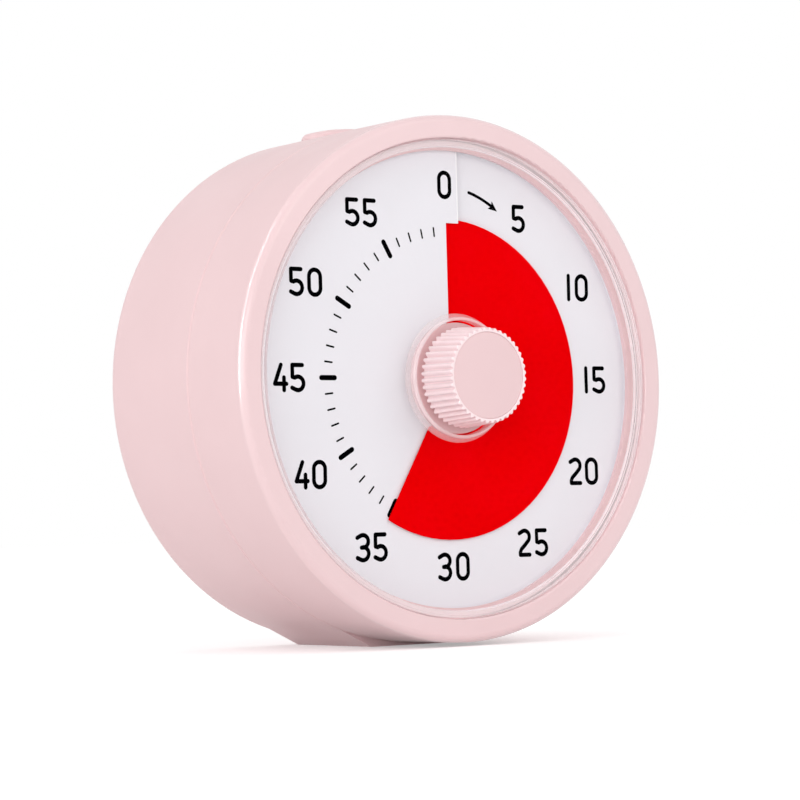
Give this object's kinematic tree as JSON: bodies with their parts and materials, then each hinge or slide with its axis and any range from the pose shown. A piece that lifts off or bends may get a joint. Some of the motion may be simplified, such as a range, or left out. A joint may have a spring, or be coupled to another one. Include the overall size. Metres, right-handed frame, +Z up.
{
  "type": "visual countdown timer",
  "caption": "Round desk countdown timer: a ribbed centre knob winds a red disc out over a numbered white dial behind a clear window in a pink drum housing.",
  "frame": {"origin": "underside of the flat under the rear shell, below the drum's axis, half-way between bezel plane and back plane", "axes": "+Y from the dial into the body, along the drum's axis; +Z up; +X to the right seen from the front"},
  "size_m": [0.0844, 0.0468, 0.0859],
  "materials": {
    "pink": "satin moulded",
    "pink_cap": "satin moulded",
    "clear": "clear moulded",
    "white": "matte",
    "red": "matte",
    "gear": "moulded acetal",
    "dark": "matte",
    "steel": "bright",
    "magnet": "nickel plated",
    "board": "solder mask",
    "cell": "printed label"
  },
  "bodies": {
    "housing": {"front_housing": "pink", "rear_housing": "pink", "lens": "clear", "dial": "white", "dial_plate": "white", "idler_pin": "steel", "drive_motor": "steel", "movement_case": "dark", "movement_cover": "dark", "movement_screws": "steel", "circuit_board": "board", "buzzer": "dark", "control_chip": "dark", "quartz_crystal": "steel", "volume_switch": "dark", "button_switch": "dark", "battery_cell": "cell", "contact_plate": "steel", "contact_spring": "steel", "magnets": "magnet", "housing_screws": "steel", "board_screws": "steel"},
    "knob": {"knob": "pink", "knob_cap": "pink_cap", "arbor": "steel", "time_wheel": "gear", "clutch_washer": "steel"},
    "time_disc": {"disc_hub": "red", "time_disc": "red"},
    "idler": {"idler_gear": "gear"},
    "motor_pinion": {"motor_pinion": "gear"},
    "top_button": {"top_button": "pink"},
    "volume_slider": {"volume_slider": "white"},
    "battery_door": {"battery_door": "pink"}
  },
  "joints": [
    {"name": "knob_turn", "type": "hinge", "parent": "housing", "child": "knob", "pos_m": [0, 0, 0.0428], "axis": [0, 1, 0], "range_deg": [-210, 150]},
    {"name": "disc_follow", "type": "slide", "parent": "knob", "child": "time_disc", "axis": [0, -1, 0], "range_m": [-0.00053, 0.00038]},
    {"name": "idler_spin", "type": "hinge", "parent": "housing", "child": "idler", "pos_m": [-0.0192, 0, 0.0428], "axis": [0, 1, 0], "range_deg": [-450, 630]},
    {"name": "motor_spin", "type": "hinge", "parent": "housing", "child": "motor_pinion", "pos_m": [-0.0132, 0, 0.05319], "axis": [0, 1, 0], "range_deg": [-1890, 1350]},
    {"name": "button_press", "type": "slide", "parent": "housing", "child": "top_button", "axis": [0, 0, -1], "range_m": [0, 0.0006], "stiffness_N_per_m": 600},
    {"name": "volume_slide", "type": "slide", "parent": "housing", "child": "volume_slider", "axis": [1, 0, 0], "range_m": [0, 0.002]},
    {"name": "door_lift", "type": "slide", "parent": "housing", "child": "battery_door", "axis": [0, 1, 0], "range_m": [0, 0.025]}
  ],
  "couplings": [
    {"joint": "disc_follow", "follows": "knob_turn", "m_per_rad": 0.00014324},
    {"joint": "idler_spin", "follows": "knob_turn", "ratio": -3},
    {"joint": "motor_spin", "follows": "knob_turn", "ratio": 9}
  ]
}
